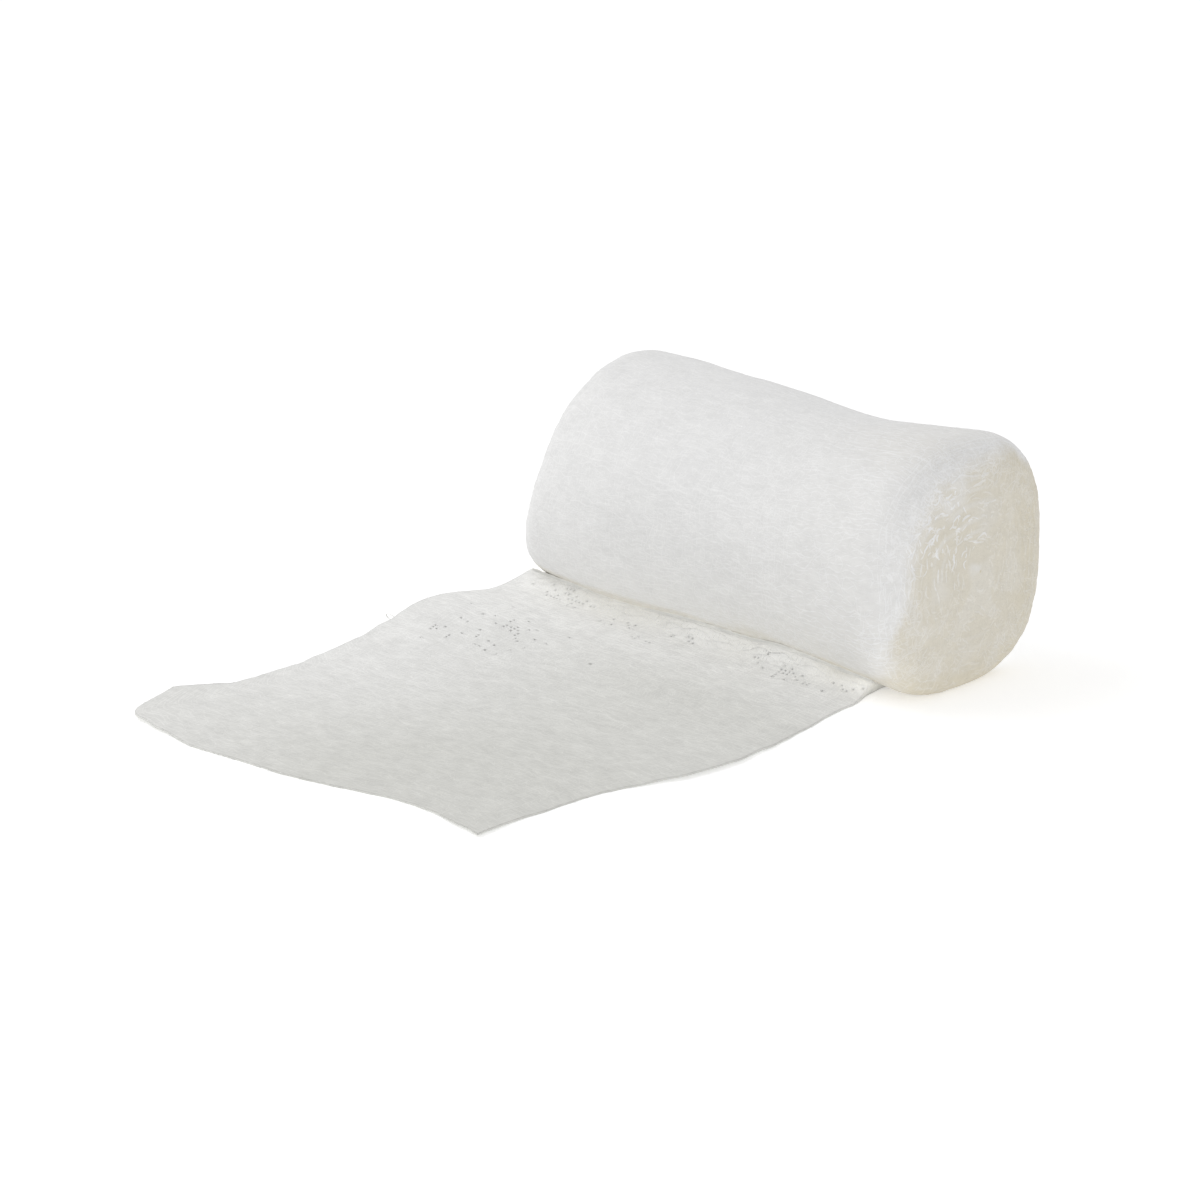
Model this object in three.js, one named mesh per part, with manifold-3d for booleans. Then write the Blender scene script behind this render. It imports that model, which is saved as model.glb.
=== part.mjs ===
// Gauze bandage roll: one strip of soft crinkled gauze, wound on itself without a core,
// with its loose end drawn out and laid flat in front of the roll.
// Millimetres, +Z up. The roll's axis runs along X and the loose end runs towards -Y.
// The origin is on the table, under the centre of the whole footprint.

import * as THREE from "three";
import { mergeVertices } from "three/addons/utils/BufferGeometryUtils.js";
import Module from "manifold-3d";

// Driving dimensions
const ROLL_LENGTH = 117;
const ROLL_RADIUS = 27.8;
const CLOTH_THICKNESS = 2;
const PIECE_GAP = 0.3;

// The roll's two soft ends. dome: how far the end face swells. rim: how far its edge is rounded over.
const LEFT_END = { dome: 2, rim: 7 };
const RIGHT_END = { dome: 2, rim: 8 };

// The roll's sections, from its left end to its right end.
// x: place along the axis. width, height: size along Y and Z, as a share of the full diameter.
// squareness: 2 is an oval, and more fills its corners. back: shift of the centre towards +Y.
// settling: how much of the height is pressed flat underneath.
// lean: how far the top stands off towards +X. spread: how far the underside runs out towards -X,
// or towards +X where it is below 0.
const ROLL_SECTIONS = [
  { x: -59, width: 0.93, height: 1.015, squareness: 2.0, back: 3.4, settling: 0.8, lean: 5.0, spread: 17.5 },
  { x: -36, width: 1.0, height: 1.02, squareness: 2.1, back: 1.0, settling: 0.8, lean: 4.5, spread: 8.0 },
  { x: -8, width: 1.0, height: 1.0, squareness: 2.1, back: 1.0, settling: 0.8, lean: 2.0, spread: 3.0 },
  { x: 20, width: 0.99, height: 0.985, squareness: 2.1, back: 1.0, settling: 0.8, lean: 0.5, spread: 1.0 },
  { x: 40, width: 1.0, height: 1.025, squareness: 2.3, back: 1.0, settling: 1.2, lean: 0.5, spread: 0.0 },
  { x: 59, width: 1.0, height: 1.06, squareness: 2.8, back: 1.0, settling: 2.0, lean: 1.0, spread: -1.5 },
];

// The loose end's rows across the strip, from under the roll to the free end.
// out: distance in front of the axis. left, right: where the two selvedges lie in X.
// leftLift, rightLift: how far each selvedge stands off the table.
const LOOSE_END_ROWS = [
  { out: 0, left: -56, right: 44, leftLift: 0.0, rightLift: 0.0 },
  { out: 12, left: -63, right: 42, leftLift: 0.0, rightLift: 0.0 },
  { out: 26, left: -66.5, right: 45, leftLift: 0.6, rightLift: 0.0 },
  { out: 42, left: -68.5, right: 47.5, leftLift: 2.0, rightLift: 0.0 },
  { out: 60, left: -65.5, right: 50.5, leftLift: 0.8, rightLift: 0.4 },
  { out: 80, left: -63, right: 50.5, leftLift: 0.0, rightLift: 0.8 },
  { out: 98, left: -62, right: 43.5, leftLift: 0.0, rightLift: 0.0 },
  { out: 118, left: -63.5, right: 41, leftLift: 0.2, rightLift: 0.0 },
  { out: 137, left: -68.5, right: 42, leftLift: 1.0, rightLift: 0.6 },
];
// The cut edge of the free end. across: 0 at the left selvedge, 1 at the right.
// reach: how far the edge runs past the last row, or falls short of it.
const CUT_EDGE = [
  { across: 0.00, reach: -17.0 },
  { across: 0.04, reach: -2.0 },
  { across: 0.10, reach: 0.8 },
  { across: 0.20, reach: 3.0 },
  { across: 0.32, reach: 3.8 },
  { across: 0.55, reach: 1.6 },
  { across: 0.72, reach: -2.0 },
  { across: 0.84, reach: -2.2 },
  { across: 1.00, reach: 1.2 },
];
const CUT_EDGE_FADE = 3; // the power of the length by which the cut edge's shape dies away
const SELVEDGE_LIFT_SHARE = 0.3; // the share of the width over which a lifted selvedge comes down

// Facets, and the distance below which two points are one
const ROLL_AROUND = 44;
const ROLL_ALONG = 34;
const SHEET_ACROSS = 24;
const SHEET_ALONG = 28;
const WELD = 1e-3;

const gauze = (color) => new THREE.MeshStandardMaterial({ color, roughness: 0.95, metalness: 0 });

// A column of a table at a place along its key column, on a smooth curve through the rows.
function columnAt(table, key, column, place) {
  const last = table.length - 2;
  let i = 0;
  while (i < last && place > table[i + 1][key]) i += 1;
  const row = (k) => table[Math.min(Math.max(k, 0), table.length - 1)];
  const slope = (k) => {
    const span = row(k + 1)[key] - row(k - 1)[key];
    return (row(k + 1)[column] - row(k - 1)[column]) / span;
  };
  const span = row(i + 1)[key] - row(i)[key];
  const t = THREE.MathUtils.clamp((place - row(i)[key]) / span, 0, 1);
  const rise = 3 * t * t - 2 * t * t * t;
  const startPull = t * (1 - t) * (1 - t) * span * slope(i);
  const endPull = t * t * (t - 1) * span * slope(i + 1);
  return row(i)[column] * (1 - rise) + row(i + 1)[column] * rise + startPull + endPull;
}

// A sine or cosine pushed towards the corners of a square as the squareness rises above 2.
const squared = (wave, squareness) => Math.sign(wave) * Math.abs(wave) ** (2 / squareness);

// One end with two more sizes: the radius of its face, and how far in from the end of the axis
// the line of the face would cross the line of the body.
function endSizes(end) {
  const face = ROLL_RADIUS - end.rim;
  return { ...end, face, bend: end.dome * (1 + (2 * end.rim) / face) };
}

// Half the roll's outline, from the left end of the axis to the right end: a swollen end face,
// a rounded rim, the straight body, and the same again.
function rollProfile() {
  const half = ROLL_LENGTH / 2;
  const left = endSizes(LEFT_END);
  const right = endSizes(RIGHT_END);
  const profile = new THREE.Path();
  profile.moveTo(-half, 0);
  profile.quadraticCurveTo(-half, left.face / 2, -half + left.dome, left.face);
  profile.quadraticCurveTo(-half + left.bend, ROLL_RADIUS, -half + left.bend + left.rim, ROLL_RADIUS);
  profile.lineTo(half - right.bend - right.rim, ROLL_RADIUS);
  profile.quadraticCurveTo(half - right.bend, ROLL_RADIUS, half - right.dome, right.face);
  profile.quadraticCurveTo(half, right.face / 2, half, 0);
  return profile;
}

// The roll's surface. edge: a point of the outline. around: angle about the axis, from +Y upwards.
function rollPoint(edge, around) {
  const section = (column) => columnAt(ROLL_SECTIONS, "x", column, edge.x);
  const y = edge.y * squared(Math.cos(around), section("squareness"));
  const z = edge.y * squared(Math.sin(around), section("squareness"));
  const share = z / ROLL_RADIUS;
  const tilt = (section("lean") + section("spread")) / 2;
  const sweep = (section("lean") - section("spread")) / 2;
  const centre = ROLL_RADIUS * section("height") - section("settling");
  return new THREE.Vector3(
    edge.x + tilt * share + sweep * share * share,
    section("back") + section("width") * y,
    Math.max(0, centre + section("height") * z),
  );
}

// The loose end's surface. across and along run from 0 to 1, and upper is true on its top face.
function sheetPoint(across, along, upper) {
  const first = LOOSE_END_ROWS[0].out;
  const last = LOOSE_END_ROWS[LOOSE_END_ROWS.length - 1].out;
  const out = THREE.MathUtils.lerp(first, last, along);
  const row = (column) => columnAt(LOOSE_END_ROWS, "out", column, out);
  const reach = columnAt(CUT_EDGE, "across", "reach", across) * along ** CUT_EDGE_FADE;
  const fall = (distance) => THREE.MathUtils.smoothstep(1 - distance / SELVEDGE_LIFT_SHARE, 0, 1);
  const lift = row("leftLift") * fall(across) + row("rightLift") * fall(1 - across);
  return new THREE.Vector3(
    THREE.MathUtils.lerp(row("left"), row("right"), across),
    -(out + reach),
    Math.max(0, lift) + (upper ? CLOTH_THICKNESS : 0),
  );
}

// Moves each point of a geometry to its place and leaves only the merged positions.
function reshaped(geometry, place) {
  const points = geometry.getAttribute("position");
  for (let i = 0; i < points.count; i += 1) {
    const point = place(new THREE.Vector3().fromBufferAttribute(points, i));
    points.setXYZ(i, point.x, point.y, point.z);
  }
  geometry.deleteAttribute("normal");
  geometry.deleteAttribute("uv");
  return mergeVertices(geometry, WELD);
}

// The wound form starts as a sphere with its poles at the two ends of the axis.
function rollGeometry() {
  const profile = rollProfile();
  const sphere = new THREE.SphereGeometry(1, ROLL_AROUND, ROLL_ALONG);
  return reshaped(sphere, (point) => {
    const along = 1 - Math.acos(THREE.MathUtils.clamp(point.y, -1, 1)) / Math.PI;
    return rollPoint(profile.getPoint(along), Math.atan2(point.x, point.z));
  });
}

// A sheet starts as a thin box with its points in even rows. grow widens it on every side.
function sheetGeometry(grow = 0) {
  const box = new THREE.BoxGeometry(1, 1, 1, SHEET_ACROSS, SHEET_ALONG, 1);
  return reshaped(box, (point) => {
    const place = sheetPoint(point.x + 0.5, 0.5 - point.y, point.z > 0);
    place.x += Math.sign(point.x) * grow;
    place.y += point.y === 0.5 ? grow : 0;
    place.z += Math.sign(point.z) * grow;
    return place;
  });
}

const wasm = await Module();
wasm.setup();

function solidOf(geometry) {
  return new wasm.Manifold(
    new wasm.Mesh({
      numProp: 3,
      vertProperties: new Float32Array(geometry.getAttribute("position").array),
      triVerts: new Uint32Array(geometry.index.array),
    }),
  );
}

function geometryOf(solid) {
  const mesh = solid.getMesh();
  const geometry = new THREE.BufferGeometry();
  geometry.setAttribute("position", new THREE.BufferAttribute(mesh.vertProperties, 3));
  geometry.setIndex(new THREE.BufferAttribute(mesh.triVerts, 1));
  geometry.computeVertexNormals();
  return geometry;
}

// The loose end passes under the roll, so the roll's underside has a step as deep as the strip.
function woundRoll() {
  const room = solidOf(sheetGeometry(PIECE_GAP));
  const mesh = new THREE.Mesh(geometryOf(solidOf(rollGeometry()).subtract(room)), gauze(0xe9e8e4));
  mesh.name = "wound_roll";
  return mesh;
}

function looseEnd() {
  const mesh = new THREE.Mesh(sheetGeometry(), gauze(0xe4e3de));
  mesh.name = "loose_end";
  return mesh;
}

const bandage = new THREE.Group();
bandage.name = "gauze_bandage_roll";
bandage.add(woundRoll(), looseEnd());

// The origin moves from under the roll's axis to under the centre of the footprint.
const footprint = new THREE.Box3().setFromObject(bandage).getCenter(new THREE.Vector3());
bandage.children.forEach((piece) => piece.position.set(-footprint.x, -footprint.y, 0));

export default bandage;
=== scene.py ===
"""Looks of a gauze bandage roll: a coreless roll of fluffy cotton gauze, its loose end laid out.

Sizes are in millimetres in the roll's own frame, with the roll's axis along X over y = 0 and the
loose end towards -Y. They become metres in the part's frame when a mesh is made.
"""

import math

import bpy
import numpy as np
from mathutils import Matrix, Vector


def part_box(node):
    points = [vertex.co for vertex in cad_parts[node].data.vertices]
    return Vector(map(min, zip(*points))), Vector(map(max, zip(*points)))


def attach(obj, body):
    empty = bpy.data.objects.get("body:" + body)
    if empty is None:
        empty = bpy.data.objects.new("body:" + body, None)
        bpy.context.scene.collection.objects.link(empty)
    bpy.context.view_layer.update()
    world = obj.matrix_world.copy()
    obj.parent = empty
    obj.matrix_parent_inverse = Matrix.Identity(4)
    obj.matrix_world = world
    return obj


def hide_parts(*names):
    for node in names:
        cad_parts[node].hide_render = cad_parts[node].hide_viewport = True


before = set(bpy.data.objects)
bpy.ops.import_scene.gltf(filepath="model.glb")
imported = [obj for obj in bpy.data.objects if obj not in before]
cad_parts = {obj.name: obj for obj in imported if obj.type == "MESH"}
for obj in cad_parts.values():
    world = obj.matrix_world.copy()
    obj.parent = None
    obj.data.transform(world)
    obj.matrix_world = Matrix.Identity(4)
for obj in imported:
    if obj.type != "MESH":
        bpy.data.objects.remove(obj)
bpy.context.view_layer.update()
MM = 0.001
FULL_TURN = 2 * np.pi
TINY = 1e-9


def table(columns, *rows):
    """A short table as one array for each named column."""
    return dict(zip(columns.split(), np.array(rows, float).T))


# The roll, with the part's own sizes
ROLL_LENGTH = 117.0
ROLL_RADIUS = 27.8
CLOTH_THICKNESS = 2.0
PIECE_GAP = 0.3
LEFT_END = {"dome": 2.0, "rim": 7.0}
RIGHT_END = {"dome": 2.0, "rim": 8.0}
ROLL_SECTIONS = table(
    "x width height squareness back settling lean spread",
    (-59, 0.93, 1.015, 2.0, 3.4, 0.8, 5.0, 17.5),
    (-36, 1.0, 1.02, 2.1, 1.0, 0.8, 4.5, 8.0),
    (-8, 1.0, 1.0, 2.1, 1.0, 0.8, 2.0, 3.0),
    (20, 0.99, 0.985, 2.1, 1.0, 0.8, 0.5, 1.0),
    (40, 1.0, 1.025, 2.3, 1.0, 1.2, 0.5, 0.0),
    (59, 1.0, 1.06, 2.8, 1.0, 2.0, 1.0, -1.5),
)

# The loose end, with the part's own sizes
LOOSE_ROWS = table(
    "out left right left_lift right_lift",
    (0, -56, 44, 0.0, 0.0),
    (12, -63, 42, 0.0, 0.0),
    (26, -66.5, 45, 0.6, 0.0),
    (42, -68.5, 47.5, 2.0, 0.0),
    (60, -65.5, 50.5, 0.8, 0.4),
    (80, -63, 50.5, 0.0, 0.8),
    (98, -62, 43.5, 0.0, 0.0),
    (118, -63.5, 41, 0.2, 0.0),
    (137, -68.5, 42, 1.0, 0.6),
)
CUT_EDGE = table(
    "across reach",
    (0.00, -17.0),
    (0.04, -2.0),
    (0.10, 0.8),
    (0.20, 3.0),
    (0.32, 3.8),
    (0.55, 1.6),
    (0.72, -2.0),
    (0.84, -2.2),
    (1.00, 1.2),
)
SHEET_LENGTH = LOOSE_ROWS["out"][-1]
CUT_EDGE_FADE = 3
SELVEDGE_LIFT_SHARE = 0.3

# The photograph's view: the camera's bearing, height and distance, and the point it looks at
VIEW_AZIMUTH = 43.2
VIEW_ELEVATION = 18.8
VIEW_DISTANCE = 1400.0
VIEW_TARGET = (-2.65, -54.4, 20.4)
PHOTO_WIDTH_PX = 1200
FOCAL_PX = 6440
SENSOR_WIDTH = 36.0

# Curves and noise
NOISE_PEAK = 1.9
CURVE_STEPS = 60
EDGE_STEPS = 500


def curve_through(rows, key, column, place):
    """A column's smooth curve through its rows, at each place along the key column."""
    keys, values = rows[key], rows[column]
    slopes = np.empty_like(values)
    slopes[1:-1] = (values[2:] - values[:-2]) / (keys[2:] - keys[:-2])
    slopes[0] = (values[1] - values[0]) / (keys[1] - keys[0])
    slopes[-1] = (values[-1] - values[-2]) / (keys[-1] - keys[-2])
    i = np.clip(np.searchsorted(keys, place) - 1, 0, len(keys) - 2)
    span = keys[i + 1] - keys[i]
    t = np.clip((place - keys[i]) / span, 0, 1)
    rise = t * t * (3 - 2 * t)
    start_pull = t * (1 - t) ** 2 * span * slopes[i]
    end_pull = t * t * (t - 1) * span * slopes[i + 1]
    return values[i] * (1 - rise) + values[i + 1] * rise + start_pull + end_pull


def rows_at(rows, key, place):
    """Every column of a table at each place along its key column."""
    return {column: curve_through(rows, key, column, place) for column in rows}


def smooth_step(value, low, high):
    """0 below low, 1 above high and a soft rise between them. Low may be above high."""
    t = np.clip((value - low) / (high - low), 0, 1)
    return t * t * (3 - 2 * t)


def spline_weights(t):
    """The four weights of a smooth curve over a row of random values."""
    return np.stack(
        [(1 - t) ** 3, 3 * t**3 - 6 * t**2 + 4, -3 * t**3 + 3 * t**2 + 3 * t + 1, t**3]
    ) / 6


def soft_noise(u, v, cells, seed):
    """A soft random field of about -1 to 1 that repeats when u or v grows by 1.

    cells: how many bumps it has each way.
    """
    values = np.random.default_rng(seed).uniform(-NOISE_PEAK, NOISE_PEAK, cells)
    u, v = np.broadcast_arrays(np.asarray(u, float) * cells[0], np.asarray(v, float) * cells[1])
    i, j = np.floor(u).astype(int), np.floor(v).astype(int)
    across, along = spline_weights(u - i), spline_weights(v - j)
    field = np.zeros(u.shape)
    for a in range(4):
        for b in range(4):
            value = values[(i + a - 1) % cells[0], (j + b - 1) % cells[1]]
            field += across[a] * along[b] * value
    return field


def quadratic(start, bend, end):
    """Points of a quadratic curve, as rows of (x, radius)."""
    t = np.linspace(0, 1, CURVE_STEPS)[:, None]
    return (1 - t) ** 2 * np.array(start) + 2 * t * (1 - t) * np.array(bend) + t**2 * np.array(end)


def unit(vectors):
    """The vectors at a length of 1."""
    return vectors / np.maximum(np.linalg.norm(vectors, axis=-1, keepdims=True), TINY)


def points_at(x, y, z):
    """Points from their three coordinates."""
    return np.stack(np.broadcast_arrays(x, y, z), -1)


# The loose end's smooth shape
def selvedges(out):
    """Where the loose end's left and right edges lie in X, at each distance from the axis."""
    left = curve_through(LOOSE_ROWS, "out", "left", out)
    return left, curve_through(LOOSE_ROWS, "out", "right", out)


def sheet_points(across, along):
    """The loose end's underside. across and along run from 0 to 1."""
    out = along * SHEET_LENGTH
    row = rows_at(LOOSE_ROWS, "out", out)
    reach = curve_through(CUT_EDGE, "across", "reach", across) * along**CUT_EDGE_FADE
    left_fall = smooth_step(across, SELVEDGE_LIFT_SHARE, 0)
    right_fall = smooth_step(across, 1 - SELVEDGE_LIFT_SHARE, 1)
    lift = row["left_lift"] * left_fall + row["right_lift"] * right_fall
    x = row["left"] + (row["right"] - row["left"]) * across
    return points_at(x, -(out + reach), np.maximum(lift, 0))


# The roll's smooth shape
def end_curves(end, side):
    """One soft end of the roll's outline, from the axis outwards: its face and its rounded rim."""
    half = ROLL_LENGTH / 2
    face = ROLL_RADIUS - end["rim"]
    bend = end["dome"] * (1 + 2 * end["rim"] / face)
    face_edge = side * (half - end["dome"]), face
    swell = quadratic((side * half, 0), (side * half, face / 2), face_edge)
    rim = quadratic(
        face_edge,
        (side * (half - bend), ROLL_RADIUS),
        (side * (half - bend - end["rim"]), ROLL_RADIUS),
    )
    return np.vstack([swell, rim[1:]])


def roll_outline():
    """Half the roll's outline from its left end to its right: place along it, x and radius."""
    points = np.vstack([end_curves(LEFT_END, -1), end_curves(RIGHT_END, 1)[::-1]])
    steps = np.hypot(*np.diff(points, axis=0).T)
    return np.concatenate([[0], np.cumsum(steps)]), points[:, 0], points[:, 1]


def axis_place():
    """The axis's place in the part's frame. The loose end, whose box is known, starts under it."""
    low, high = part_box("loose_end")
    leftmost = selvedges(np.linspace(0, SHEET_LENGTH, EDGE_STEPS))[0].min()
    return np.array([low.x / MM - leftmost, high.y / MM, 0.0])


AXIS_PLACE = axis_place()
OUTLINE_S, OUTLINE_X, OUTLINE_R = roll_outline()
OUTLINE_LENGTH = OUTLINE_S[-1]
FACE_LENGTH = {-1: ROLL_RADIUS - LEFT_END["rim"], 1: ROLL_RADIUS - RIGHT_END["rim"]}
BODY_LENGTH = OUTLINE_LENGTH - FACE_LENGTH[-1] - FACE_LENGTH[1]
NOISE_TILE = 120.0
NOISE_SHIFT = {-1: 0.8, 1: 0.3}
FACE_TO_BODY = 14, 22
STEP_OUTSIDE = 1.5
STEP_INSIDE = 0.5


def outline_radius(s):
    """The roll's radius at each place along its outline."""
    return np.interp(s, OUTLINE_S, OUTLINE_R)


def roll_noise(s, around, length, width, seed):
    """Soft bumps all over the roll. length, width: their size along and across its body."""
    radius = outline_radius(s)
    body_cells = round(FULL_TURN * ROLL_RADIUS / width), round(OUTLINE_LENGTH / length)
    body = soft_noise(around / FULL_TURN, s / OUTLINE_LENGTH, body_cells, seed)
    shift = np.where(s > OUTLINE_LENGTH / 2, NOISE_SHIFT[1], NOISE_SHIFT[-1])
    across = radius * np.cos(around) / NOISE_TILE
    up = radius * np.sin(around) / NOISE_TILE + shift
    face_cells = round(NOISE_TILE / width), round(NOISE_TILE / width)
    face = soft_noise(across, up, face_cells, seed + 1)
    return face + (body - face) * smooth_step(radius, *FACE_TO_BODY)


def squared(wave, squareness):
    """A sine or cosine pushed towards the corners of a square as squareness rises above 2."""
    return np.sign(wave) * np.abs(wave) ** (2 / squareness)


def strip_height(x, y):
    """The height of the room that the loose end takes under the roll at each place."""
    left, right = selvedges(np.clip(-y, 0, SHEET_LENGTH))
    inside = smooth_step(x, left - STEP_OUTSIDE, left + STEP_INSIDE)
    inside = inside * smooth_step(x, right + STEP_OUTSIDE, right - STEP_INSIDE)
    return (CLOTH_THICKNESS + PIECE_GAP) * inside * smooth_step(y, STEP_OUTSIDE, 0)


def roll_points(s, around):
    """The roll's smooth surface.

    s: place along the outline. around: angle about the axis, from +Y upwards.
    """
    x = np.interp(s, OUTLINE_S, OUTLINE_X)
    radius = outline_radius(s)
    section = rows_at(ROLL_SECTIONS, "x", x)
    y = radius * squared(np.cos(around), section["squareness"])
    z = radius * squared(np.sin(around), section["squareness"])
    share = z / ROLL_RADIUS
    tilt = (section["lean"] + section["spread"]) / 2
    sweep = (section["lean"] - section["spread"]) / 2
    centre = ROLL_RADIUS * section["height"] - section["settling"]
    x = x + tilt * share + sweep * share**2
    y = section["back"] + section["width"] * y
    z = np.maximum(centre + section["height"] * z, strip_height(x, y))
    return points_at(x, y, z)


def roll_normals(s, around):
    """The outward direction of the roll's smooth surface."""
    ds, da = 0.4, 0.02
    along = roll_points(s + ds, around) - roll_points(s - ds, around)
    about = roll_points(s, around + da) - roll_points(s, around - da)
    return unit(np.cross(about, along))


# Objects and meshes
THREAD_SIDES = 3
THREAD_FLATNESS = 0.25
THREAD_ROUNDNESS = 0.2
THREAD_TIP = 0.4


def new_object(name, data):
    """An object of a mesh, lamp or lens in the scene."""
    made = bpy.data.objects.new(name, data)
    bpy.context.scene.collection.objects.link(made)
    return made


def write_values(mesh, name, values):
    """A number for each point of a mesh, for its material to read."""
    values = np.broadcast_to(values, len(mesh.vertices)).astype(np.float32)
    mesh.attributes.new(name, "FLOAT", "POINT").data.foreach_set("value", values)


def fill_mesh(mesh, points, quads, triangles):
    """Gives a mesh its points, in the roll's frame, and its faces as rows of point numbers."""
    sides = np.concatenate([np.full(len(quads), 4), np.full(len(triangles), 3)])
    corners = np.concatenate([np.ravel(quads), np.ravel(triangles)]).astype(np.int32)
    mesh.vertices.add(len(points))
    mesh.loops.add(len(corners))
    mesh.polygons.add(len(sides))
    mesh.vertices.foreach_set("co", ((points + AXIS_PLACE) * MM).astype(np.float32).ravel())
    mesh.loops.foreach_set("vertex_index", corners)
    mesh.polygons.foreach_set("loop_start", (np.cumsum(sides) - sides).astype(np.int32))
    mesh.polygons.foreach_set("use_smooth", np.ones(len(sides), bool))


def make_mesh(name, points, quads, triangles, slot, cream_and_shade, glow=0.0, normals=None):
    """A smooth mesh object of the bandage.

    cream_and_shade: each point's tint from 0 to 1, the ends' creamy colour and painted shade.
    glow: painted light that comes out of the cloth there.
    normals: each point's shading direction, where it isn't the mesh's own.
    """
    mesh = bpy.data.meshes.new(name)
    fill_mesh(mesh, points, quads, triangles)
    write_values(mesh, "cream_and_shade", cream_and_shade)
    write_values(mesh, "glow", glow)
    mesh.update(calc_edges=True)
    mesh.validate()
    if normals is not None:
        mesh.normals_split_custom_set_from_vertices(normals)
    mesh.materials.append((CLOTHS if normals is None else THREADS)[slot])
    piece = new_object(name, mesh)
    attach(piece, "root")
    return piece


def grid_quads(rows, columns):
    """Quads between neighbouring points of a grid of rings. The last column joins the first."""
    i = np.arange(rows - 1)[:, None]
    j = np.arange(columns)[None, :]
    k = (j + 1) % columns
    corners = [(i + 1) * columns + j, (i + 1) * columns + k, i * columns + k, i * columns + j]
    return np.stack(corners, -1).reshape(-1, 4)


def thread_faces(threads, count):
    """The quads and end caps of threads with this many rings of points each."""
    first = (np.arange(threads) * count * THREAD_SIDES)[:, None, None]
    ring = first + np.arange(count - 1)[None, :, None] * THREAD_SIDES
    j = np.arange(THREAD_SIDES)[None, None, :]
    k = (j + 1) % THREAD_SIDES
    next_ring = ring + THREAD_SIDES
    corners = np.broadcast_arrays(ring + j, next_ring + j, next_ring + k, ring + k)
    ends = first[:, 0] + np.arange(THREAD_SIDES)[None, :]
    caps = np.vstack([ends, ends[:, ::-1] + (count - 1) * THREAD_SIDES])
    return np.stack(corners, -1).reshape(-1, 4), caps


def make_threads(name, paths, outward, radius, slot, cream_and_shade, glow=0.0):
    """Joined closed flat threads. paths: threads by points by 3. radius: their half widths.

    They take most of their shading direction from the cloth, as light passes through thin cotton.
    """
    shape = paths.shape[:2]
    tangent = unit(np.gradient(paths, axis=1))
    side = unit(np.cross(tangent, outward))
    up = np.cross(side, tangent)
    angles = np.radians(90 + 360 / THREAD_SIDES * np.arange(THREAD_SIDES))[:, None]
    spokes = np.cos(angles) * side[:, :, None, :]
    spokes = spokes + THREAD_FLATNESS * np.sin(angles) * up[:, :, None, :]
    taper = np.ones(shape[1])
    taper[[0, -1]] = THREAD_TIP
    thickness = np.broadcast_to(radius, shape) * taper
    rings = paths[:, :, None, :] + thickness[:, :, None, None] * spokes
    rings[..., 2] = np.maximum(rings[..., 2], 0)
    normals = unit(outward[:, :, None, :] + THREAD_ROUNDNESS * spokes).reshape(-1, 3)
    quads, caps = thread_faces(*shape)
    tint = np.repeat(np.broadcast_to(cream_and_shade, shape), THREAD_SIDES)
    light = np.repeat(np.broadcast_to(glow, shape), THREAD_SIDES)
    return make_mesh(name, rings.reshape(-1, 3), quads, caps, slot, tint, light, normals)


# Materials. squeeze: how many times closer a noise's bumps lie along X, Y and Z.
COTTON = {
    "Roughness": 0.95,
    "Specular IOR Level": 0.1,
    "Sheen Weight": 0.16,
    "Sheen Roughness": 0.6,
}
PALE_FLOOR = {
    "Base Color": (0.92, 0.92, 0.92, 1),
    "Roughness": 0.9,
    "Specular IOR Level": 0.1,
    "Emission Color": (1, 1, 1, 1),
    "Emission Strength": 0.32,
}
CLUMPS = {"scale": 260, "squeeze": (0.7, 1, 1)}
STREAKS = {"scale": 800, "squeeze": (0.4, 1, 1)}
NAP = {"scale": 1700, "squeeze": (0.4, 1, 1)}
NOISE_LOOK = {"Detail": 4, "Roughness": 0.6}
NOISE_SPAN = {"From Min": 0.3, "From Max": 0.7}
NAP_STRENGTH = 0.3
NAP_HEIGHT = 0.0003
CLUMP_SHADE = 0.65
STREAK_SHADE = 0.8
SPOT_LIGHT = 0.35


def set_inputs(node, values):
    """Sets a node's own sockets by their names."""
    for name, value in values.items():
        node.inputs[name].default_value = value


def new_material(name, look):
    """A material whose shader has the look's values, and its shader."""
    material = bpy.data.materials.new(name)
    material.use_nodes = True
    shader = material.node_tree.nodes["Principled BSDF"]
    set_inputs(shader, look)
    return material, shader


def noise_between(tree, low, high, scale, squeeze):
    """A soft noise from low to high over the object."""
    place = tree.nodes.new("ShaderNodeTexCoord")
    mapping = tree.nodes.new("ShaderNodeMapping")
    mapping.inputs["Scale"].default_value = squeeze
    tree.links.new(place.outputs["Object"], mapping.inputs["Vector"])
    noise = tree.nodes.new("ShaderNodeTexNoise")
    set_inputs(noise, {"Scale": scale, **NOISE_LOOK})
    tree.links.new(mapping.outputs["Vector"], noise.inputs["Vector"])
    value = tree.nodes.new("ShaderNodeMapRange")
    set_inputs(value, {**NOISE_SPAN, "To Min": low, "To Max": high})
    tree.links.new(noise.outputs["Fac"], value.inputs["Value"])
    return value.outputs["Result"]


def point_value(tree, name):
    """The number that each point of a mesh holds under a name."""
    value = tree.nodes.new("ShaderNodeAttribute")
    value.attribute_name = name
    return value.outputs["Fac"]


# The tint gives the ends' creamy colour and painted shade
def tinted(tree, white, shade):
    """White to its shade, by the points' tint."""
    colour = tree.nodes.new("ShaderNodeMix")
    colour.data_type = "RGBA"
    set_inputs(colour, {"A": (*white, 1), "B": (*shade, 1)})
    tree.links.new(point_value(tree, "cream_and_shade"), colour.inputs["Factor"])
    return colour.outputs["Result"]


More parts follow.
